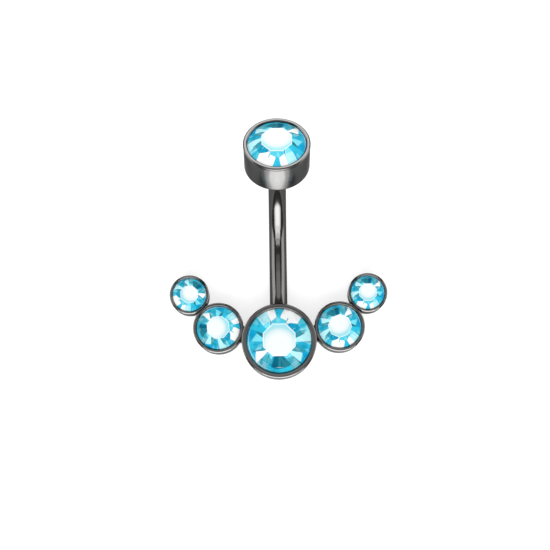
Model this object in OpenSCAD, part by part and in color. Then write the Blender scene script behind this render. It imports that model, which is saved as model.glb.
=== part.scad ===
// Navel ring: a curved bar with a crescent of five bezel cups soldered to its foot,
// and a screw-on cup at its top. Six cut stones sit in the cups.
// Millimetres. The ring lies on its back: the crescent's cups stand on z = 0 and look
// up (+Z), the bar runs along +Y, and the origin is the middle of the main cup's back.

/* [Stones] */
// Width of the main stone at its girdle
main_stone_d = 6.0; // [5.4:0.1:7.5]
// Width of each second stone at its girdle
second_stone_d = 4.1; // [3.4:0.1:4.8]
// Width of each outer stone at its girdle
outer_stone_d = 3.25; // [2.8:0.05:3.9]
// Width of the top stone at its girdle
top_stone_d = 5.4; // [4.8:0.1:6.6]
// Width of the table, as a share of the stone's width
table_share = 0.52; // [0.48:0.01:0.6]
// Height of the crown above the girdle, as a share of the stone's width
crown_share = 0.14; // [0.11:0.01:0.17]
// Depth of the pavilion below the girdle, as a share of the stone's width
pavilion_share = 0.24; // [0.2:0.01:0.27]
// How far out from the table the star facets reach, as a share of the crown's run
star_share = 0.5; // [0.4:0.05:0.6]
// Thickness of the girdle band
girdle_t = 0.15; // [0.1:0.01:0.2]

/* [Cups] */
// Width of the main cup's rim, from the stone that shows to the outside
main_rim_w = 0.5; // [0.4:0.02:0.7]
// Width of the second cups' rims
second_rim_w = 0.36; // [0.3:0.02:0.5]
// Width of the outer cups' rims
outer_rim_w = 0.29; // [0.26:0.01:0.45]
// Width of the top cup's rim
top_rim_w = 0.37; // [0.3:0.01:0.5]
// How far the rims close over the stones
lip_over = 0.12; // [0.06:0.01:0.14]
// Height of the rims above the girdles
lip_h = 0.26; // [0.22:0.01:0.32]
// Height of the raised band round each rim
band_h = 0.22; // [0.16:0.01:0.26]
// How far the band stands out from the wall below it
band_stand = 0.03; // [0.02:0.01:0.05]
// Height of the groove under the band
groove_h = 0.08; // [0.05:0.01:0.12]
// Depth of the groove under the band
groove_depth = 0.03; // [0.02:0.01:0.04]
// Radius of the rims' rounded outer edge, and width of the bevel inside them
edge_r = 0.09; // [0.05:0.01:0.1]
// Radius of the rounded edge at the foot of the soldered cups
foot_r = 0.2; // [0.1:0.02:0.3]
// Radius of the rounded edge at the foot of the top cup
top_foot_r = 0.2; // [0.15:0.05:0.4]
// Metal under the stones of the soldered cups
cup_floor = 0.65; // [0.55:0.05:0.9]
// Metal under the top stone, where the bar's pin goes in
top_floor = 1.25; // [1.1:0.05:1.8]

/* [Crescent] */
// Rise of the line from the main cup to a second cup, in degrees
second_rise = 13.1; // [4:0.1:20]
// Rise of the line from a second cup to an outer cup, in degrees
outer_rise = 49.6; // [35:0.1:60]
// How far the rims of neighbouring cups run into each other at the joint
solder_lap = 0.02; // [0.01:0.01:0.06]
// Radius of the solder's hollow fillets
solder_r = 0.16; // [0.1:0.02:0.4]
// Height of the solder's foot above the cups' backs
solder_z = 0.25; // [0.15:0.05:0.4]
// Height of the solder
solder_h = 1.0; // [0.7:0.05:1.1]

/* [Bar] */
// Thickness of the bar
bar_d = 1.6; // [1.2:0.1:1.8]
// Radius of the bar's bend, on its centreline
bend_r = 9.5; // [8.5:0.1:12]
// Slope of the bar at its foot, down from the main cup, in degrees
foot_slope = 20; // [16:1:24]
// Slope of the bar at its top, where the top cup screws on, in degrees
top_slope = 65; // [58:1:70]
// How far the bar's foot reaches into the main cup's wall
root_depth = 0.8; // [0.5:0.1:1]
// Thickness of the plain pin that stands for the bar's hidden thread
pin_d = 1.1; // [0.8:0.05:1.15]
// Length of the pin
pin_l = 1.05; // [0.7:0.05:1.05]

/* [Fits] */
// Gap round each stone in its cup
stone_gap = 0.04; // [0.02:0.01:0.06]
// Gap round the pin in the top cup
pin_gap = 0.03; // [0.01:0.01:0.05]
// Gap between the bar's shoulder and the top cup's back
shoulder_gap = 0.02; // [0.01:0.01:0.05]

/* [Hidden] */
$fn = 96;
metal = [0.3, 0.3, 0.31];
aqua = [0.25, 0.75, 0.9];
arc_steps = 6;
facets = 8;
facet_step = 360 / facets;
cut_over = 1;
// How far the solder's fillets run into the walls instead of only grazing them
fillet_ease = 0.01;

// Outer radius of a cup round a stone of width d with a rim of width w
function rim_r(d, w) = d / 2 - lip_over + w;
main_r = rim_r(main_stone_d, main_rim_w);
second_r = rim_r(second_stone_d, second_rim_w);
outer_r = rim_r(outer_stone_d, outer_rim_w);
top_r = rim_r(top_stone_d, top_rim_w);

// Heights over a cup's back: the girdle's underside, and the top of the rim
function girdle_z(d, floor_t) = floor_t + stone_gap + pavilion_share * d;
function cup_h(d, floor_t) = girdle_z(d, floor_t) + girdle_t + lip_h;

// Centres of the cups on the right; those on the left mirror them
function polar(length, angle) = length * [cos(angle), sin(angle)];
second_at = polar(main_r + second_r - solder_lap, second_rise);
outer_at = second_at + polar(second_r + outer_r - solder_lap, outer_rise);

// The bar's bend: it touches z = 0 at its lowest point, and its foot meets the main cup
bend_z = bar_d / 2 + bend_r;
bend_y = main_r + bend_r * sin(foot_slope);
root_turn = asin(root_depth / bend_r);
bar_end = [0, bend_y + bend_r * sin(top_slope), bend_z - bend_r * cos(top_slope)];

function arc(centre, r, from, to) =
    [for (i = [0 : arc_steps]) centre + polar(r, from + (to - from) * i / arc_steps)];

// Outside of a cup without its pocket, turned from its half section
module cup_body(r, h, foot) {
    wall_r = r - band_stand;
    band_z = h - band_h;
    rotate_extrude()
        polygon(concat(
            [[0, 0]],
            arc([wall_r - foot, foot], foot, -90, 0),
            [[wall_r, band_z - groove_h],
             [wall_r - groove_depth, band_z - groove_h],
             [wall_r - groove_depth, band_z]],
            arc([r - edge_r / 2, band_z + edge_r / 2], edge_r / 2, -90, 0),
            arc([r - edge_r, h - edge_r], edge_r, 0, 90),
            [[0, h]]));
}

// Space for a stone: a cone for its pavilion, a band for its girdle, and a mouth whose
// edge closes over the crown
module pocket(d, floor_t) {
    seat_r = d / 2 + stone_gap;
    mouth_r = d / 2 - lip_over;
    low = girdle_z(d, floor_t);
    high = low + girdle_t + stone_gap + lip_over;
    top = cup_h(d, floor_t);
    rotate_extrude()
        polygon(
            [[0, floor_t], [seat_r, low], [seat_r, low + girdle_t + stone_gap],
             [mouth_r, high], [mouth_r + edge_r, top],
             [mouth_r + edge_r, top + cut_over], [0, top + cut_over]]);
}

// Cut stone on its culet: table, star, kite and upper girdle facets over a girdle band,
// and a cone of pavilion facets below it
module stone(d) {
    girdle_r = d / 2;
    table_r = table_share * girdle_r;
    low = pavilion_share * d;
    high = low + girdle_t;
    top = high + crown_share * d;
    slope = (top - high) / (girdle_r - table_r);
    star_r = table_r + star_share * (girdle_r - table_r);
    star_z = top - (star_r * cos(facet_step / 2) - table_r) * slope;
    sides = 2 * facets;
    function ring(r, z, n, shift) =
        [for (i = [0 : n - 1]) [r * cos(360 * i / n + shift), r * sin(360 * i / n + shift), z]];
    half = facet_step / 2;
    points = concat(
        ring(table_r, top, facets, half),
        ring(star_r, star_z, facets, 2 * half),
        ring(girdle_r, high, sides, half),
        ring(girdle_r, low, sides, half),
        [[0, 0, 0]]);
    star = facets;
    upper = 2 * facets;
    lower = upper + sides;
    culet = lower + sides;
    function next(i, n) = (i + 1) % n;
    table_face = [[for (i = [facets - 1 : -1 : 0]) i]];
    star_faces = [for (i = [0 : facets - 1]) [i, next(i, facets), star + i]];
    kite_faces = [for (i = [0 : facets - 1])
        [i, star + i, upper + 2 * i, star + (i + facets - 1) % facets]];
    half_faces = [for (i = [0 : facets - 1], side = [0, 1])
        side == 0 ? [star + i, upper + 2 * i + 1, upper + 2 * i]
                  : [star + i, upper + next(2 * i + 1, sides), upper + 2 * i + 1]];
    band_faces = [for (i = [0 : sides - 1])
        [upper + i, upper + next(i, sides), lower + next(i, sides), lower + i]];
    pavilion_faces = [for (i = [0 : sides - 1]) [lower + i, lower + next(i, sides), culet]];
    polyhedron(points, concat(table_face, star_faces, kite_faces, half_faces,
                              band_faces, pavilion_faces));
}

// Solder between two cups: a web with a hollow fillet on each side
module solder(at_a, r_a, at_b, r_b) {
    reach_a = r_a - band_stand + solder_r;
    reach_b = r_b - band_stand + solder_r;
    span = norm(at_b - at_a);
    along = (span * span + reach_a * reach_a - reach_b * reach_b) / (2 * span);
    across = sqrt(reach_a * reach_a - along * along);
    dir = (at_b - at_a) / span;
    side = [-dir[1], dir[0]];
    fillets = [for (s = [-1, 1]) at_a + along * dir + s * across * side];
    translate([0, 0, solder_z]) linear_extrude(solder_h) difference() {
        polygon([at_a, fillets[0], at_b, fillets[1]]);
        for (centre = fillets) translate(centre) circle(solder_r - fillet_ease);
    }
}

// Curved bar and the plain pin at its top
module bar() {
    translate([0, bend_y, bend_z]) rotate([90, 0, 90])
        rotate([0, 0, -90 - foot_slope - root_turn])
            rotate_extrude(angle = foot_slope + root_turn + top_slope)
                translate([bend_r, 0]) circle(d = bar_d);
    at_bar_end() translate([0, 0, -pin_d / 2]) cylinder(d = pin_d, h = pin_l + pin_d / 2);
}

// Places the top cup's pieces: their Z runs on from the bar's end
module at_bar_end() {
    translate(bar_end) rotate([top_slope - 90, 0, 0]) children();
}

// Crescent cups on the right and their mirror images
module each_side() {
    children();
    mirror([1, 0, 0]) children();
}

module frame() color(metal) {
    difference() {
        union() {
            cup_body(main_r, cup_h(main_stone_d, cup_floor), foot_r);
            each_side() {
                translate(second_at) cup_body(second_r, cup_h(second_stone_d, cup_floor), foot_r);
                translate(outer_at) cup_body(outer_r, cup_h(outer_stone_d, cup_floor), foot_r);
                solder([0, 0], main_r, second_at, second_r);
                solder(second_at, second_r, outer_at, outer_r);
            }
            bar();
        }
        pocket(main_stone_d, cup_floor);
        each_side() {
            translate(second_at) pocket(second_stone_d, cup_floor);
            translate(outer_at) pocket(outer_stone_d, cup_floor);
        }
    }
}

module top_cup() color(metal) {
    at_bar_end() translate([0, 0, shoulder_gap]) difference() {
        cup_body(top_r, cup_h(top_stone_d, top_floor), top_foot_r);
        pocket(top_stone_d, top_floor);
        translate([0, 0, -cut_over])
            cylinder(d = pin_d + 2 * pin_gap, h = cut_over + pin_l + pin_gap);
    }
}

// A stone on its seat in a soldered cup
module seated(d) {
    color(aqua) translate([0, 0, cup_floor + stone_gap]) stone(d);
}

module main_stone() seated(main_stone_d);
module second_stone_right() translate(second_at) seated(second_stone_d);
module second_stone_left() mirror([1, 0, 0]) second_stone_right();
module outer_stone_right() translate(outer_at) seated(outer_stone_d);
module outer_stone_left() mirror([1, 0, 0]) outer_stone_right();

module top_stone() color(aqua) {
    at_bar_end() translate([0, 0, shoulder_gap + top_floor + stone_gap]) stone(top_stone_d);
}

frame();
top_cup();
main_stone();
second_stone_right();
second_stone_left();
outer_stone_right();
outer_stone_left();
top_stone();
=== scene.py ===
import math

import bmesh
import bpy
from mathutils import Matrix, Vector


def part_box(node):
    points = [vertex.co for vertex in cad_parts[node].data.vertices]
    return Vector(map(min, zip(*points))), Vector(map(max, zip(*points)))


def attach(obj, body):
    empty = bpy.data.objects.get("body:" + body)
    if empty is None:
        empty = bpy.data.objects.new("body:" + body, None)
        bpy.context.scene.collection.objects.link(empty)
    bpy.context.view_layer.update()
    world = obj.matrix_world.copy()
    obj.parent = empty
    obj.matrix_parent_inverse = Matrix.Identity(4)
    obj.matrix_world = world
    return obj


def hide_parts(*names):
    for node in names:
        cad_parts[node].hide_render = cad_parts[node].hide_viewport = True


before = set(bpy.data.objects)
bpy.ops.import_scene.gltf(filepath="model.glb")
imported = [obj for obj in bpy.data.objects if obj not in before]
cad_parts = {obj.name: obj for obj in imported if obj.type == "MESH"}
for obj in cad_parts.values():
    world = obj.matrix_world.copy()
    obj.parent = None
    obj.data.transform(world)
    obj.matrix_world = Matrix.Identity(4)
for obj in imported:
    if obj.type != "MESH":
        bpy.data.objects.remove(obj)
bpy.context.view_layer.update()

# Bezel cups of the crescent
# Five short round cups, turned from steel and plated nearly black. A raised band with a groove
# under it runs round each rim, which is burnished over the stone. The backs are flat.

# The ring's sizes are in millimetres, and MM turns them into metres
MM = 0.001
RIM_WIDTH = {"main": 0.5, "second": 0.36, "outer": 0.29}
LIP_OVER = 0.12
LIP_HEIGHT = 0.26
STONE_GAP = 0.04
GIRDLE_HEIGHT = 0.15
PAVILION_SHARE = 0.24
RIM_FORM = {
    "Band height": 0.22, "Band stand": 0.03, "Groove height": 0.08, "Groove depth": 0.03,
    "Rim chamfer": 0.085, "Mouth bevel": 0.14, "Rim dish": 0.015, "Lip rise": 0.07,
}
DISH_SHARE = 0.42
CHAMFER_DROP = 0.65
FOOT_ROUNDING = 0.2
LATHE_RADIUS = 1.0
ROUND_STEPS = 176
CORNER_STEPS = 7
WELD = 0.00001


class Wire:
    """A socket of a node tree. Sums and products of wires add the Math nodes that they stand for."""

    def __init__(self, tree, socket=None):
        self.tree = tree
        self.socket = socket

    def into(self, node, key):
        """Links this wire to a socket of a node that is already there."""
        self.tree.links.new(self.socket, node.inputs[key])

    def node(self, kind, settings=None, sockets=None, out=0):
        """Adds any other node: first its settings, where items is how many values an Index Switch
        picks from, then the values or wires of its sockets."""
        made = self.tree.nodes.new(kind)
        for name, value in (settings or {}).items():
            if name == "items":
                while len(made.index_switch_items) < value:
                    made.index_switch_items.new()
            else:
                setattr(made, name, value)
        for key, value in (sockets or {}).items():
            if isinstance(value, Wire):
                value.into(made, key)
            else:
                made.inputs[key].default_value = value
        return Wire(self.tree, made.outputs[out])

    def beside(self, out):
        """Another output of the node that this wire comes from."""
        return Wire(self.tree, self.socket.node.outputs[out])

    def maths(self, operation, *values):
        return self.node("ShaderNodeMath", {"operation": operation}, dict(enumerate(values)))

    def __add__(self, other):
        return self.maths("ADD", self, other)

    def __radd__(self, other):
        return self.maths("ADD", other, self)

    def __sub__(self, other):
        return self.maths("SUBTRACT", self, other)

    def __rsub__(self, other):
        return self.maths("SUBTRACT", other, self)

    def __mul__(self, other):
        return self.maths("MULTIPLY", self, other)

    def __rmul__(self, other):
        return self.maths("MULTIPLY", other, self)

    def __truediv__(self, other):
        return self.maths("DIVIDE", self, other)

    def __rtruediv__(self, other):
        return self.maths("DIVIDE", other, self)

    def __mod__(self, other):
        return self.maths("FLOORED_MODULO", self, other)

    def __rmod__(self, other):
        return self.maths("FLOORED_MODULO", other, self)

    def __abs__(self):
        return self.maths("ABSOLUTE", self)

    def clamped(self):
        return self.maths("MINIMUM", self.maths("MAXIMUM", self, 0.0), 1.0)

    def past(self, place, sharpness):
        """0 up to this place, then rising to 1."""
        return ((self - place) * sharpness).clamped()

    def turn(self, place, sharpness):
        """0 before this place and 1 after it, and a half at the place itself."""
        return ((self - place) * sharpness + 0.5).clamped()

    def line(self, place, sharpness):
        """1 at this place, falling to 0 on both sides of it."""
        return (1.0 - abs(self - place) * sharpness).clamped()

    def point(self, x, y):
        return self.node("ShaderNodeCombineXYZ", sockets={"X": x, "Y": y})

    def blend(self, under, over, way="MIX"):
        """A colour that is under where this wire is 0 and over where it is 1. The Mix node's
        sockets for colours are its inputs 6 and 7 and its output 2."""
        return self.node("ShaderNodeMix", {"data_type": "RGBA", "blend_type": way},
                         {0: self, 6: under, 7: over}, out=2)


def maker(name, sizes):
    """An empty geometry tree that asks for these sizes and a finish, and a wire for each of them."""
    tree = bpy.data.node_groups.new(name, "GeometryNodeTree")
    tree.interface.new_socket(name="Piece", in_out="OUTPUT", socket_type="NodeSocketGeometry")
    for size in sizes:
        tree.interface.new_socket(name=size, in_out="INPUT", socket_type="NodeSocketFloat")
    tree.interface.new_socket(name="Finish", in_out="INPUT", socket_type="NodeSocketMaterial")
    asked = Wire(tree).node("NodeGroupInput")
    return tree, {size: asked.beside(size) for size in [*sizes, "Finish"]}


def deliver(tree, piece, finish):
    """Ends a tree: nothing is left as an instance, and the piece has its finish."""
    real = piece.node("GeometryNodeRealizeInstances", sockets={"Geometry": piece})
    smooth = real.node("GeometryNodeSetShadeSmooth", sockets={"Geometry": real, "Shade Smooth": True})
    done = smooth.node("GeometryNodeSetMaterial", sockets={"Geometry": smooth, "Material": finish})
    done.into(tree.nodes.new("NodeGroupOutput"), "Piece")


def new_piece(name, mesh):
    """A new object in the scene, at the origin."""
    piece = bpy.data.objects.new(name, mesh)
    bpy.context.scene.collection.objects.link(piece)
    return piece


def make_piece(name, tree, sizes, finish):
    """Runs a tree once with these sizes and keeps what it makes as a plain mesh."""
    piece = new_piece(name, bpy.data.meshes.new(name))
    work = piece.modifiers.new("make", "NODES")
    work.node_group = tree
    for socket in tree.interface.items_tree:
        if socket.in_out == "INPUT":
            work[socket.identifier] = finish if socket.name == "Finish" else sizes[socket.name]
    made = piece.evaluated_get(bpy.context.evaluated_depsgraph_get())
    mesh = bpy.data.meshes.new_from_object(made)
    piece.modifiers.remove(work)
    piece.data = mesh
    return piece


def bezel_cup_tree():
    """Turns a cup from its half section: the corners in order from the middle of the stone's seat,
    over the rim and down the wall to the middle of the back, each with its own rounding."""
    own = ["Rim radius", "Height", "Seat radius", "Seat height", "Floor", "Foot rounding",
           "Pin hole radius", "Pin hole depth"]
    tree, size = maker("bezel_cup", own + list(RIM_FORM))
    rim, height = size["Rim radius"], size["Height"]
    wall = rim - size["Band stand"]
    throat = wall - size["Groove depth"]
    band_low = height - size["Band height"]
    groove_low = band_low - size["Groove height"]
    girdle_top = size["Seat height"] + (GIRDLE_HEIGHT + STONE_GAP)
    mouth = size["Seat radius"] - (LIP_OVER + STONE_GAP)
    bevel = mouth + size["Mouth bevel"]
    dish = (rim - bevel) * DISH_SHARE
    corners = [
        (0.0, size["Floor"], 0.0),
        (size["Seat radius"], size["Seat height"], 0.01),
        (size["Seat radius"], girdle_top, 0.01),
        (mouth, girdle_top + size["Lip rise"], 0.012),
        (bevel, height - size["Rim dish"], 0.03),
        (bevel + dish, height, 0.05),
        (rim - size["Rim chamfer"], height, 0.03),
        (rim, height - size["Rim chamfer"] * CHAMFER_DROP, 0.03),
        (rim, band_low, 0.045),
        (throat, band_low, 0.012),
        (throat, groove_low, 0.012),
        (wall, groove_low, 0.02),
        (wall, 0.0, size["Foot rounding"]),
        (size["Pin hole radius"], 0.0, 0.0),
        (size["Pin hole radius"], size["Pin hole depth"], 0.0),
        (0.0, size["Pin hole depth"], 0.0),
    ]
    index = rim.node("GeometryNodeInputIndex")

    def each_corner(data_type, values):
        """A value for each corner of the section, in their order."""
        return rim.node("GeometryNodeIndexSwitch", {"data_type": data_type, "items": len(corners)},
                        dict(enumerate([index, *values])))

    # The profile is drawn from the lathe's circle inwards, and its Y runs down
    places = each_corner("VECTOR", [rim.point(r - LATHE_RADIUS, 0.0 - z) for r, z, _ in corners])
    roundings = each_corner("FLOAT", [rounding for _, _, rounding in corners])
    points = rim.node("GeometryNodePoints", sockets={"Count": len(corners), "Position": places})
    outline = points.node("GeometryNodePointsToCurves", sockets={"Points": points})
    section = outline.node(
        "GeometryNodeFilletCurve", {"mode": "POLY"},
        {"Curve": outline, "Count": CORNER_STEPS, "Radius": roundings, "Limit Radius": True})
    circle = rim.node("GeometryNodeCurvePrimitiveCircle", {"mode": "RADIUS"},
                      {"Resolution": ROUND_STEPS, "Radius": LATHE_RADIUS})
    turned = circle.node("GeometryNodeCurveToMesh", sockets={"Curve": circle, "Profile Curve": section})
    closed = turned.node("GeometryNodeMergeByDistance", sockets={"Geometry": turned, "Distance": WELD})
    deliver(tree, closed, size["Finish"])
    return tree


def new_finish(name, constants):
    """A new material whose shader has these constants, the shader, and a wire to draw from."""
    material = bpy.data.materials.new(name)
    material.use_nodes = True
    shader = material.node_tree.nodes["Principled BSDF"]
    for key, value in constants.items():
        shader.inputs[key].default_value = value
    return material, shader, Wire(material.node_tree)


# The plating's two tones, and how many of its clouds and of its grains go into a metre
PLATING_DARK = (0.118, 0.116, 0.115, 1)
PLATING_LIGHT = (0.142, 0.139, 0.136, 1)
CLOUDS = 900.0
GRAINS = 9000.0
CLOUD_HAZE = 0.03
GRAIN_HAZE = 0.02
GRAIN_STRENGTH = 0.02
GRAIN_DEPTH = 0.00002


def dark_plated_steel(name, haze):
    """Steel under a dark plating, polished by machine: a slight haze, a faint cloudiness of the
    plating, and a grain too fine to see by itself."""
    steel = {"Metallic": 1.0, "Specular Tint": (0.5, 0.5, 0.5, 1)}
    material, shader, start = new_finish(name, steel)
    place = start.node("ShaderNodeTexCoord", out="Object")
    cloud = place.node("ShaderNodeTexNoise", sockets={"Vector": place, "Scale": CLOUDS, "Detail": 3.0})
    grain = place.node("ShaderNodeTexNoise", sockets={"Vector": place, "Scale": GRAINS, "Detail": 2.0})
    bump = grain.node("ShaderNodeBump", sockets={
        "Strength": GRAIN_STRENGTH, "Distance": GRAIN_DEPTH, "Height": grain})
    rough = haze + cloud * CLOUD_HAZE + grain * GRAIN_HAZE
    cloud.blend(PLATING_DARK, PLATING_LIGHT).into(shader, "Base Color")
    rough.into(shader, "Roughness")
    bump.into(shader, "Normal")
    return material


def stone_at(node):
    """A stone's centre, its width and its lowest point, in millimetres, from its CAD node."""
    low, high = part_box(node)
    return (low + high) / 2 / MM, (high.x - low.x) / MM, low.z / MM


def cup_sizes(stone_width, floor, rim_width, foot_rounding):
    """The sizes of a plain cup, worked out from the stone that it holds."""
    seat_height = floor + STONE_GAP + PAVILION_SHARE * stone_width
    return {
        **RIM_FORM,
        "Rim radius": stone_width / 2 - LIP_OVER + rim_width,
        "Height": seat_height + GIRDLE_HEIGHT + LIP_HEIGHT,
        "Seat radius": stone_width / 2 + STONE_GAP,
        "Seat height": seat_height,
        "Floor": floor,
        "Foot rounding": foot_rounding,
        "Pin hole radius": 0.0,
        "Pin hole depth": 0.0,
    }


crescent_steel = dark_plated_steel("dark_plated_steel", haze=0.09)
cup_tree = bezel_cup_tree()
CUP_KIND = {
    "main_stone": "main", "second_stone_right": "second", "second_stone_left": "second",
    "outer_stone_right": "outer", "outer_stone_left": "outer",
}
# Each cup by its stone's node: the cup, its middle seen from above, and its sizes
cups = {}
for node, kind in CUP_KIND.items():
    centre, width, lowest = stone_at(node)
    sizes = cup_sizes(width, lowest - STONE_GAP, RIM_WIDTH[kind], FOOT_ROUNDING)
    cup = make_piece(node + "_cup", cup_tree, sizes, crescent_steel)
    cup.data.transform(Matrix.Translation((centre.x, centre.y, 0.0)))
    cups[node] = (cup, Vector((centre.x, centre.y)), sizes)

# Curved bar
# A length of 1.6 mm round steel, bent on one radius and polished. Its foot is soldered into the
# main cup's wall, and a plain pin at its top carries the screw-on cup.
GAUGE = 1.6
BEND_RADIUS = 9.5
FOOT_SLOPE = 20.0
TOP_SLOPE = 65.0
ROOT_DEPTH = 0.8
PIN_WIDTH = 1.1
PIN_LENGTH = 1.05
PIN_ROOT = PIN_WIDTH / 2
BAR_STEPS = 120
ROUND_BAR_STEPS = 72
ROUND_PIN_STEPS = 48

bend_y = cups["main_stone"][2]["Rim radius"] + BEND_RADIUS * math.sin(math.radians(FOOT_SLOPE))
bend_z = GAUGE / 2 + BEND_RADIUS
root_turn = math.degrees(math.asin(ROOT_DEPTH / BEND_RADIUS))
top_turn = math.radians(TOP_SLOPE)
bar_axis = Vector((0, math.cos(top_turn), math.sin(top_turn)))
end_y = bend_y + BEND_RADIUS * math.sin(top_turn)
end_z = bend_z - BEND_RADIUS * math.cos(top_turn)
bar_end = Vector((0, end_y, end_z))


def bent_bar_tree():
    """Sweeps the bar's round section along its bend, and closes both ends."""
    tree, size = maker("bent_bar", ["Gauge", "Bend radius", "Start angle", "Sweep angle"])
    bend = size["Gauge"].node(
        "GeometryNodeCurveArc", {"mode": "RADIUS"},
        {"Resolution": BAR_STEPS, "Radius": size["Bend radius"], "Start Angle": size["Start angle"],
         "Sweep Angle": size["Sweep angle"]})
    section = bend.node("GeometryNodeCurvePrimitiveCircle", {"mode": "RADIUS"},
                        {"Resolution": ROUND_BAR_STEPS, "Radius": size["Gauge"] * 0.5})
    bar = bend.node("GeometryNodeCurveToMesh",
                    sockets={"Curve": bend, "Profile Curve": section, "Fill Caps": True})
    closed = bar.node("GeometryNodeMergeByDistance", sockets={"Geometry": bar, "Distance": WELD})
    deliver(tree, closed, size["Finish"])
    return tree


bar = make_piece("bar", bent_bar_tree(), {
    "Gauge": GAUGE, "Bend radius": BEND_RADIUS,
    "Start angle": math.radians(-90 - FOOT_SLOPE - root_turn),
    "Sweep angle": math.radians(FOOT_SLOPE + root_turn + TOP_SLOPE)}, crescent_steel)
stand_up = Matrix.Rotation(math.radians(90), 4, "Z") @ Matrix.Rotation(math.radians(90), 4, "X")
bar.data.transform(Matrix.Translation((0, bend_y, bend_z)) @ stand_up)


def add_mesh_piece(name, work):
    """Ends the work on a mesh and puts it into the scene."""
    piece = new_piece(name, bpy.data.meshes.new(name))
    work.to_mesh(piece.data)
    work.free()
    return piece


along_bar = Matrix.Translation(bar_end) @ Matrix.Rotation(top_turn - math.pi / 2, 4, "X")
pin_work = bmesh.new()
bmesh.ops.create_cone(pin_work, cap_ends=True, segments=ROUND_PIN_STEPS, radius1=PIN_WIDTH / 2,
                      radius2=PIN_WIDTH / 2, depth=PIN_LENGTH + PIN_ROOT)
pin_work.transform(along_bar @ Matrix.Translation((0, 0, (PIN_LENGTH - PIN_ROOT) / 2)))
pin = add_mesh_piece("pin", pin_work)

# Solder
# Four small webs of solder fill the corners between neighbouring cups, behind their rims. The
# solder ran in by itself, so its sides are hollow. Cups, bar, pin and solder are one piece of metal.
SOLDER_RADIUS = 0.16
SOLDER_LOW = 0.25
SOLDER_HEIGHT = 1.0
# The arcs end this far off the walls that they would touch, so that no two faces graze each other
FILLET_EASE = 0.01
FILLET_STEPS = 14
CRISP_ANGLE = math.radians(38)


def solder_web(first, second):
    """A web between two cups. Each of its sides is a hollow arc from one cup to the other."""
    (_, a, size_a), (_, b, size_b) = cups[first], cups[second]
    reach_a = size_a["Rim radius"] - RIM_FORM["Band stand"] + SOLDER_RADIUS
    reach_b = size_b["Rim radius"] - RIM_FORM["Band stand"] + SOLDER_RADIUS
    span = (b - a).length
    along = (span ** 2 + reach_a ** 2 - reach_b ** 2) / (2 * span)
    across = math.sqrt(reach_a ** 2 - along ** 2)
    ahead = (b - a) / span
    aside = Vector((-ahead.y, ahead.x))

    def hollow_side(offset):
        """The points of one side, from the first cup to the second."""
        middle = a + along * ahead + offset * aside
        to_a, to_b = (a - middle).normalized(), (b - middle).normalized()
        radius = SOLDER_RADIUS - FILLET_EASE
        return [middle + radius * to_a.slerp(to_b, k / FILLET_STEPS) for k in range(FILLET_STEPS + 1)]

    outline = [a, *hollow_side(-across), b, *reversed(hollow_side(across))]
    work = bmesh.new()
    face = work.faces.new([work.verts.new((p.x, p.y, SOLDER_LOW)) for p in outline])
    raised = bmesh.ops.extrude_face_region(work, geom=[face])["geom"]
    top = [part for part in raised if isinstance(part, bmesh.types.BMVert)]
    bmesh.ops.translate(work, vec=(0, 0, SOLDER_HEIGHT), verts=top)
    bmesh.ops.recalc_face_normals(work, faces=work.faces[:])
    return add_mesh_piece("solder", work)


webs = [solder_web("second_stone_" + side, "outer_stone_" + side) for side in ("right", "left")]
webs += [solder_web("main_stone", "second_stone_" + side) for side in ("right", "left")]


def united(name, parts, finish):
    """Joins solid parts into one closed skin."""
    whole = parts[0]
    for part in parts[1:]:
        join = whole.modifiers.new("join", "BOOLEAN")
        join.operation = "UNION"
        join.solver = "MANIFOLD"
        join.object = part
    joined = whole.evaluated_get(bpy.context.evaluated_depsgraph_get())
    piece = new_piece(name, bpy.data.meshes.new_from_object(joined))
    for part in parts:
        bpy.data.objects.remove(part)
    piece.data.materials.clear()
    piece.data.materials.append(finish)
    return piece


def dressed(piece):
    """Scales a piece from millimetres to metres and gives it smooth sides with crisp edges."""
    piece.data.transform(Matrix.Scale(MM, 4))
    piece.data.shade_smooth()
    piece.data.set_sharp_from_angle(angle=CRISP_ANGLE)
    even = piece.modifiers.new("even_shading", "WEIGHTED_NORMAL")
    even.keep_sharp = True
    return piece


crescent_parts = [cup for cup, _, _ in cups.values()] + [bar, pin] + webs
crescent = dressed(united("soldered_crescent", crescent_parts, crescent_steel))
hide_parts("frame")
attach(crescent, "root")

# Screw-on cup
# A taller cup of the same form and steel, plated a little duller. A hole in its back takes the end
# of the bar, and it comes off to put the ring in.
TOP_RIM_WIDTH = 0.37
TOP_RIM_FORM = {"Mouth bevel": 0.1, "Rim chamfer": 0.11, "Rim dish": 0.0, "Lip rise": 0.15}
TOP_FLOOR = 1.25
SHOULDER_GAP = 0.02
PIN_GAP = 0.03
TOP_STONE_WIDTH = 5.4

on_bar = along_bar @ Matrix.Translation((0, 0, SHOULDER_GAP))
top_sizes = {
    **cup_sizes(TOP_STONE_WIDTH, TOP_FLOOR, TOP_RIM_WIDTH, FOOT_ROUNDING),
    **TOP_RIM_FORM,
    "Pin hole radius": PIN_WIDTH / 2 + PIN_GAP,
    "Pin hole depth": PIN_LENGTH + PIN_GAP - SHOULDER_GAP,
}
top_steel = dark_plated_steel("satin_plated_steel", haze=0.18)
top_cup = make_piece("screw_on_cup", cup_tree, top_sizes, top_steel)
top_cup.data.transform(on_bar)
dressed(top_cup)
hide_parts("top_cup")
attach(top_cup, "root")

# Crystals
# Six round aqua stones of machine-cut glass, with a mirror foil on their backs that throws the light
# out again. Each sits as it fell into its cup, and the cup's rim closes over its edge. Their colour is
# the glass's own aqua with the foil's light painted in: painted reflections, highlights and shade.
TABLE_SHARE = 0.52
CROWN_SHARE = 0.14
STAR_SHARE = 0.5
FACETS = 8
STONE_EDGE = 0.014
# Triangles of the stone's hull that meet at less than this are one facet
FLAT_ANGLE = math.radians(0.5)
# Where the cup's mouth cuts the crown off, as a share of the stone's radius
MOUTH_SHARE = 0.95
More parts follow.
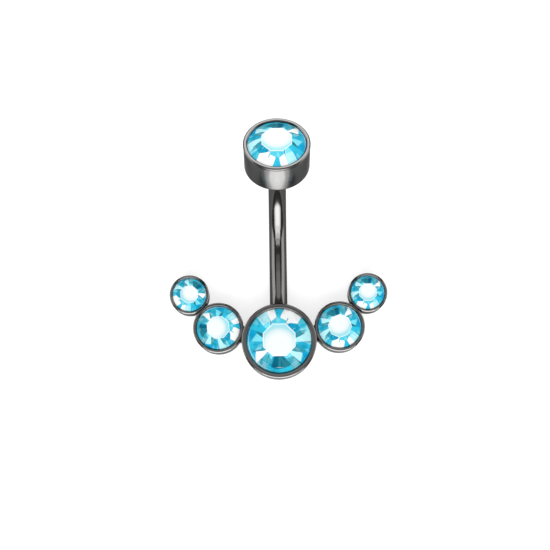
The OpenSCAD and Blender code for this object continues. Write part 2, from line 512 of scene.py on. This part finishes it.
# How strongly the aqua glass takes red, green and blue out of the light, for each step of its way
GLASS_TAKES = (1.0, 0.17, 0.07)
# Tones of the glass's own aqua with the foil's light and shade painted in: how many steps through the
# glass, and how much of the foil is lit
TONES = {
    "white": (0.03, 1.0), "ice": (0.7, 1.0), "spray": (1.6, 0.98), "sky": (2.4, 0.9),
    "azure": (3.4, 0.8), "cyan": (3.4, 0.96), "bright": (5.0, 0.95), "teal": (4.4, 0.7),
    "mist": (2.2, 0.63), "steel": (2.4, 0.47), "slate": (2.8, 0.34), "deep": (5.0, 0.31),
    "seam": (4.4, 0.42), "frost": (0.7, 0.65), "crescent": (0.85, 0.82), "pane": (0.1, 0.92),
    "shaded_pane": (0.2, 0.83),
}
# Rays of painted reflection and shade, the foil's light through the aqua glass, in degrees clockwise
# from the deep, dark one. Where each ray starts: at the table, halfway and at the rim. Then its tones
# near the table and near the rim, and how far out the first turns into the second, at the ray's start
# and at its end.
RAYS = [
    (0, 0, 0, "slate", "azure", 0.8, 0.8),
    (3, 3, 3, "deep", "azure", 0.8, 0.75),
    (15, 18, 17, "teal", "azure", 0.7, 0.65),
    (21, 24, 25, "spray", "mist", 0.25, 0.05),
    (43, 43, 43, "azure", "seam", 0.45, 0.45),
    (45, 45, 46, "white", "cyan", 1.0, 0.6),
    (52, 64, 67, "steel", "cyan", 0.75, 0.75),
    (60, 70, 70, "azure", "cyan", 0.7, 0.6),
    (85, 88, 89, "spray", "bright", 0.75, 0.4),
    (98, 110, 106, "slate", "bright", 0.4, 0.5),
    (112, 113, 113, "cyan", "cyan", 0.5, 0.5),
    (131, 134, 137, "spray", "ice", 0.35, 0.3),
    (148, 153, 156, "teal", "ice", 0.0, 0.4),
    (157, 157, 158, "sky", "white", 0.2, 0.45),
    (174, 174, 172, "sky", "cyan", 0.4, 0.4),
    (185, 184, 190, "sky", "white", 0.4, 0.25),
    (201, 201, 202, "frost", "white", 0.45, 0.45),
    (204, 204, 204, "teal", "white", 0.05, 0.55),
    (229, 229, 224, "teal", "sky", 0.55, 0.5),
    (240, 240, 241, "azure", "spray", 0.5, 0.45),
    (247, 247, 248, "steel", "spray", 0.85, 0.6),
    (265, 257, 250, "ice", "ice", 0.5, 0.5),
    (278, 274, 271, "azure", "seam", 0.55, 0.55),
    (280, 276, 274, "azure", "cyan", 0.8, 0.75),
    (288, 291, 292, "steel", "bright", 0.75, 0.6),
    (312, 300, 298, "ice", "bright", 0.65, 0.9),
    (322, 318, 315, "spray", "seam", 0.3, 0.4),
    (324, 320, 318, "spray", "mist", 0.3, 0.15),
    (346, 335, 335, "slate", "cyan", 0.7, 0.8),
]
# How sharply a tone turns into the next along a ray, and from one ray to its neighbour
TONE_EDGE = 16.0
RAY_EDGE = 0.9
# The rim's painted reflection, a fine pale arc in the deep ray: how far out it lies, and how many
# degrees it spreads
ARC_REACH = 0.71
ARC_SPREAD = 11.0
ARC_STRENGTH = 0.75
# Painted reflections as fine pale steps on both sides of the deep ray: how far from it, from how far
# out, and how close
STEPS_ASIDE = 33.0
STEPS_REACH = 0.55
STEPS_RATE = 48.0
# Splinters, small painted reflections and shade of the foil's facets: how many there are to a degree
# round the stone and to the crown's width
SPLINTERS_ROUND = 0.13
SPLINTERS_OUT = 2.9
SPLINTER_DISORDER = 0.9
# A splinter has a random shade from 0 to 1. Below the first it deepens the colour with painted shade,
# and above the second it clears it with a painted glint, this many degrees and more from the deep ray.
# The red in a white painted flash prevents both.
DEEPER_BELOW = 0.34
CLEARER_ABOVE = 0.72
CLEARER_ASIDE = 15.0
SPARED_BY_RED = 1.3
SPLINTER_DEPTH = 3.0
SPLINTER_SPARKLE = 1.7
# The tint that the splinters' painted shade multiplies into the colour
SPLINTER_SHADE_TINT = (0.3, 0.74, 0.87, 1)
# The girdle's painted reflection, a pale line: how far out it lies, and the middle and spread of its
# side, in degrees
GIRDLE_REACH = 0.94
GIRDLE_ANGLE = 65.0
GIRDLE_SPREAD = 36.0
# The table holds a painted reflection: a round pane of painted light, whose middle lies off the stone's
# own, with painted shade round it. What it leaves is a crescent, and the table's edge has a white
# painted highlight.
PANE_MIDDLE = 0.16
PANE_RADIUS = 0.3
CRESCENT_RADIUS = 0.45
WHITE_EDGE_REACH = -0.045
# The polish is a clear coat on the table alone, as the crown's painted tones hold its shine already
TABLE_POLISH = 0.55
# How far the shading turns from each facet towards the stone's axis, along which the foil shines
TURNED_TO_AXIS = 0.955


def crystal_with_painted_reflections(name, axis, light, stepped):
    """The rays of the foil's painted reflections and shade, drawn round the table in the stone's own
    plan, and the polish over them. Axis is the stone's, light is how much the studio brightens the
    stone, and stepped is how strongly its painted fine steps show."""

    def painted_tone(tone):
        """A painted tone of the light that the foil throws back, as the glass has to have it in the
        studio's light.
        """
        steps_through, lit = TONES[tone]
        return [lit * math.exp(-taken * steps_through) / light for taken in GLASS_TAKES] + [1]

    material, shader, start = new_finish(name, {
        "Roughness": 0.04, "IOR": 1.5, "Specular IOR Level": 0.04,
        "Coat IOR": 1.7, "Coat Roughness": 0.02})
    plan = start.node("ShaderNodeUVMap", {"uv_map": "plan"})
    x = plan.node("ShaderNodeSeparateXYZ", sockets={0: plan})
    y = x.beside("Y")

    # Reach runs from 0 at the table's edge to 1 at the cup's mouth, and angle clockwise in degrees
    angle = x.maths("ARCTAN2", x, y) * (180 / math.pi) % 360.0
    out = x.maths("SQRT", x * x + y * y)
    step = 360 / FACETS
    fold = ((angle + step / 2) % step - step / 2) * (math.pi / 180)
    flat = TABLE_SHARE * math.cos(math.radians(step / 2))
    edge = flat / x.maths("COSINE", fold)
    reach = (out - edge) / (MOUTH_SHARE - edge)

    # The rays of painted reflection and shade, each laid over the one before it
    near = (reach * 2.0).clamped()
    far = (reach * 2.0 - 1.0).clamped()
    starts = [near * (ray[1] - ray[0]) + far * (ray[2] - ray[1]) + ray[0] for ray in RAYS]
    crown = None
    for ray, begins, ends in zip(RAYS, starts, starts[1:] + [360.0]):
        inner, outer, turn_first, turn_last = ray[3:]
        across = ((angle - begins) / (ends - begins)).clamped()
        turns = across * (turn_last - turn_first) + turn_first
        colour = reach.turn(turns, TONE_EDGE).blend(painted_tone(inner), painted_tone(outer))
        crown = angle.turn(begins, RAY_EDGE).blend(crown, colour) if crown else colour

    # Painted reflections: the deep ray mirrors the rim as a fine pale arc, and the rays on both sides of
    # it as fine steps
    aside = abs((angle + 180.0) % 360.0 - 180.0)
    arc = reach.line(ARC_REACH, sharpness=45.0) * (1.0 - aside / ARC_SPREAD).clamped()
    steps = (x.maths("SINE", reach * STEPS_RATE) * 0.5).clamped()
    steps = steps * reach.past(STEPS_REACH, sharpness=8.0) * aside.line(STEPS_ASIDE, sharpness=0.1)
    fine = (arc * ARC_STRENGTH + steps * stepped).clamped()
    crown = fine.blend(crown, painted_tone("white"))

    # Splinters: painted reflections of the facets of the foiled back, seen small through the crown,
    # deepen its colour with painted shade or clear it with painted glints. They don't show in its white
    # painted flashes.
    cells = x.node("ShaderNodeTexVoronoi", sockets={
        "Vector": x.point(angle * SPLINTERS_ROUND, reach * SPLINTERS_OUT),
        "Scale": 1.0, "Randomness": SPLINTER_DISORDER}, out="Color")
    shade = x.node("ShaderNodeSeparateColor", sockets={0: cells})
    red = x.node("ShaderNodeSeparateColor", sockets={0: crown})
    coloured = (1.0 - red * SPARED_BY_RED).clamped()
    splinter_shade = (DEEPER_BELOW - shade).clamped() * coloured * SPLINTER_DEPTH
    crown = splinter_shade.blend(crown, SPLINTER_SHADE_TINT, "MULTIPLY")
    away = aside.past(CLEARER_ASIDE, sharpness=0.04)
    splinter_glint = (shade - CLEARER_ABOVE).clamped() * coloured * away * SPLINTER_SPARKLE
    crown = splinter_glint.blend(crown, painted_tone("ice"))

    # Painted reflection of the girdle: a fine pale line inside the rim on one side
    on_one_side = (1.5 - abs(angle - GIRDLE_ANGLE) / GIRDLE_SPREAD).clamped()
    girdle = reach.line(GIRDLE_REACH, sharpness=42.0) * on_one_side
    crown = girdle.blend(crown, painted_tone("white"))

    # The table's painted reflection: a pane of painted light with painted shade round it, a pale
    # crescent on the far side from the deep ray, and a white painted highlight on its edge
    low_y = y - PANE_MIDDLE
    from_middle = x.maths("SQRT", x * x + low_y * low_y)
    off_pane = from_middle.past(PANE_RADIUS, sharpness=7.0)
    table = off_pane.blend(painted_tone("pane"), painted_tone("shaded_pane"))
    table = from_middle.past(CRESCENT_RADIUS, sharpness=12.0).blend(table, painted_tone("crescent"))
    table = reach.past(WHITE_EDGE_REACH, sharpness=30.0).blend(table, painted_tone("white"))

    # The crown's rays begin at the table's edge
    on_crown = reach.past(0.0, sharpness=40.0)
    on_crown.blend(table, crown).into(shader, "Base Color")
    ((1.0 - on_crown) * TABLE_POLISH).into(shader, "Coat Weight")
    facet = start.node("ShaderNodeNewGeometry", out="Normal")
    leaning = facet.node("ShaderNodeVectorMath", {"operation": "MULTIPLY_ADD"}, {
        0: facet, 1: [1 - TURNED_TO_AXIS] * 3, 2: [TURNED_TO_AXIS * part for part in axis]})
    leaning.node("ShaderNodeVectorMath", {"operation": "NORMALIZE"}, {0: leaning}).into(shader, "Normal")
    return material


def cut_stone(name, width, turned):
    """A round brilliant in millimetres on its culet: the hull of its table, star, girdle and culet
    points, with its edges just broken. Its plan goes into a UV map, turned with the stone."""
    radius = width / 2
    table = TABLE_SHARE * radius
    low = PAVILION_SHARE * width
    high = low + GIRDLE_HEIGHT
    top = high + CROWN_SHARE * width
    slope = (top - high) / (radius - table)
    star = table + STAR_SHARE * (radius - table)
    half = math.pi / FACETS
    star_z = top - (star * math.cos(half) - table) * slope
    rings = [(table, top, FACETS, half), (star, star_z, FACETS, 0), (radius, high, 2 * FACETS, 0),
             (radius, low, 2 * FACETS, 0)]
    work = bmesh.new()
    work.verts.new((0, 0, 0))
    for r, z, count, shift in rings:
        for k in range(count):
            at = 2 * math.pi * k / count + shift
            work.verts.new((r * math.cos(at), r * math.sin(at), z))
    bmesh.ops.convex_hull(work, input=work.verts[:])
    bmesh.ops.dissolve_limit(work, angle_limit=FLAT_ANGLE, verts=work.verts[:], edges=work.edges[:])
    bmesh.ops.bevel(work, geom=work.edges[:], offset=STONE_EDGE, segments=1, affect="EDGES")
    bmesh.ops.recalc_face_normals(work, faces=work.faces[:])
    plan = work.loops.layers.uv.new("plan")
    for face in work.faces:
        for loop in face.loops:
            loop[plan].uv = (loop.vert.co.x / radius, loop.vert.co.y / radius)
    work.transform(Matrix.Rotation(math.radians(turned), 4, "Z"))
    return add_mesh_piece(name, work)


# How far each stone is turned in its cup, in degrees anticlockwise seen from in front
TURNED = {
    "main_stone": 180, "second_stone_right": 20, "second_stone_left": 95,
    "outer_stone_right": 0, "outer_stone_left": -40, "top_stone": 0,
}
# Each stone's colour is the glass's aqua with the foil's reflections, light and shade painted in
crystal = crystal_with_painted_reflections("aqua_crystal", (0, 0, 1), light=1.4, stepped=0.9)
top_crystal = crystal_with_painted_reflections("aqua_crystal_top", bar_axis, light=0.97, stepped=0.25)
for node, turned in TURNED.items():
    if node == "top_stone":
        place = on_bar @ Matrix.Translation((0, 0, TOP_FLOOR + STONE_GAP))
        width = TOP_STONE_WIDTH
    else:
        centre, width, lowest = stone_at(node)
        place = Matrix.Translation((centre.x, centre.y, lowest))
    stone = cut_stone(node.replace("stone", "crystal"), width, turned)
    stone.data.transform(Matrix.Scale(MM, 4) @ place)
    stone.data.materials.append(top_crystal if node == "top_stone" else crystal)
    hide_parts(node)
    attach(stone, "root")

# Sheet under the ring
# The ring lies on its back on a plain pale sheet, in a pale room. Both glow evenly to the camera, as
# a lit sheet of plastic does, and are dimmer in the metal's reflections.
SHEET_GREY = (0.37, 0.37, 0.375, 1)
# The sheet is this many metres wide
SHEET_SIZE = 6.0


def grey_light(start, to_metal, to_camera):
    """A grey that is brighter to the camera than in reflections."""
    at_camera = start.node("ShaderNodeLightPath", out="Is Camera Ray")
    return at_camera.blend([to_metal] * 3 + [1], [to_camera] * 3 + [1])


material, shader, start = new_finish("lit_sheet", {
    "Base Color": SHEET_GREY, "Roughness": 0.9, "Specular IOR Level": 0.1, "Emission Strength": 1.0})
grey_light(start, to_metal=0.09, to_camera=0.7).into(shader, "Emission Color")
half = SHEET_SIZE / 2
sheet_mesh = bpy.data.meshes.new("sheet")
sheet_corners = [(-half, -half, 0), (half, -half, 0), (half, half, 0), (-half, half, 0)]
sheet_mesh.from_pydata(sheet_corners, [], [(0, 1, 2, 3)])
sheet_mesh.materials.append(material)
new_piece("sheet", sheet_mesh)

world = bpy.data.worlds.new("studio")
world.use_nodes = True
room = grey_light(Wire(world.node_tree), to_metal=0.15, to_camera=1.0)
room.into(world.node_tree.nodes["Background"], "Color")
bpy.context.scene.world = world
bpy.context.scene.view_settings.view_transform = "Standard"

# Lights
# Flat soft boxes of cloth hang round the ring and point at its middle. Two small oval cards and a
# box behind light the screw-on cup alone: the cards its wall, and the box its rim.
ring_middle = Vector((0, 7, 2)) * MM
# The boxes hang this many metres from the ring's middle
LIGHT_DISTANCE = 0.4
# Each box's azimuth, elevation, width and height in degrees as the ring sees it, and its radiance.
# Azimuth 0 is in front of the ring, and 90 to its right.
SOFT_BOXES = {
    "front_box": (0, 35, 80, 30, 3.4),
    "front_lamp": (0, 36, 52, 26, 3.4),
    "upper_front_box": (0, 53.5, 60, 7, 5.2),
    "next_front_box": (0, 60.5, 60, 7, 3.5),
    "high_front_box": (0, 68, 50, 6, 2.2),
    "overhead_box": (180, 71.5, 50, 53, 0.4),
    "overhead_lamp": (180, 66.5, 50, 43, 0.27),
    "back_lamp": (180, 61.5, 50, 33, 0.27),
    "right_box": (100, 20, 56, 42, 2.2),
    "left_box": (-100, 20, 56, 42, 2.2),
    "back_box": (180, 22, 60, 18, 1.8),
    "rim_box": (180, 28, 90, 44, 2.4),
}
# Each card's width and height, its radiance, and its place, above the bar in front of the cup
CARDS = {
    "wide_card": (11.5, 7.0, 1.85, (0, 6.0, 5.8)),
    "narrow_card": (6.5, 5.5, 3.1, (0, 6.3, 6.3)),
}
# The cards' backs are turned to the front and a little down
CARD_BACK = Vector((0, -1, -0.3))
# How much of the rectangle round it an oval fills
OVAL_SHARE = math.pi / 4


def flat_light(name, shape, wide, high, power, place, back):
    """A flat light of this width and height in metres, with its back turned this way."""
    light = bpy.data.lights.new(name, "AREA")
    light.shape = shape
    light.size = wide
    light.size_y = high
    light.energy = power
    lamp = bpy.data.objects.new(name, light)
    lamp.location = place
    lamp.rotation_mode = "QUATERNION"
    lamp.rotation_quaternion = back.to_track_quat("Z", "Y")
    lamp.visible_camera = False
    bpy.context.scene.collection.objects.link(lamp)
    return lamp


def soft_box(name, azimuth, elevation, wide_angle, high_angle, radiance):
    """A soft box that is this many degrees wide and high, seen from the ring."""
    wide = 2 * LIGHT_DISTANCE * math.tan(math.radians(wide_angle / 2))
    high = 2 * LIGHT_DISTANCE * math.tan(math.radians(high_angle / 2))
    a, e = math.radians(azimuth), math.radians(elevation)
    away = Vector((math.sin(a) * math.cos(e), -math.cos(a) * math.cos(e), math.sin(e)))
    place = ring_middle + away * LIGHT_DISTANCE
    return flat_light(name, "RECTANGLE", wide, high, radiance * math.pi * wide * high, place, away)


def card(name, wide, high, radiance, place):
    """A small oval card, this many millimetres wide and high."""
    wide, high = wide * MM, high * MM
    power = radiance * math.pi * OVAL_SHARE * wide * high
    return flat_light(name, "ELLIPSE", wide, high, power, Vector(place) * MM, CARD_BACK)


lamps = {name: soft_box(name, *facts) for name, facts in SOFT_BOXES.items()}
lamps.update({name: card(name, *facts) for name, facts in CARDS.items()})
cup_only = bpy.data.collections.new("cup_only")
cup_only.objects.link(top_cup)
for name in ("rim_box", *CARDS):
    lamps[name].light_linking.receiver_collection = cup_only

# Camera
# It looks almost straight down on the ring, from a little in front, and is rolled by less than a
# degree, as in the photograph. It aims so that the main cup's rim falls on its pixel there.
FRAME_PIXELS = 550
# The middle of the main cup's rim in the photograph, from the top left corner
MAIN_RIM_PIXEL = (279.2, 340.5)
PIXELS_PER_MM = 11.11
CAMERA_DISTANCE = 106.0
LEAN = math.radians(9.5)
ROLL = math.radians(0.75)
SENSOR = 36.0
CLIP_START = 0.01
CLIP_END = 20.0

facing = Matrix.Rotation(LEAN, 4, "X") @ Matrix.Rotation(-ROLL, 4, "Z")
main_rim_top = Vector((0, 0, cups["main_stone"][2]["Height"]))
to_right = (FRAME_PIXELS / 2 - MAIN_RIM_PIXEL[0]) / PIXELS_PER_MM
to_top = (MAIN_RIM_PIXEL[1] - FRAME_PIXELS / 2) / PIXELS_PER_MM
eye = main_rim_top + facing @ Vector((to_right, to_top, CAMERA_DISTANCE))
camera = new_piece("camera", bpy.data.cameras.new("camera"))
camera.data.sensor_width = SENSOR
camera.data.lens = PIXELS_PER_MM * CAMERA_DISTANCE * SENSOR / FRAME_PIXELS
camera.data.clip_start = CLIP_START
camera.data.clip_end = CLIP_END
camera.matrix_world = Matrix.Translation(eye * MM) @ facing
bpy.context.scene.camera = camera
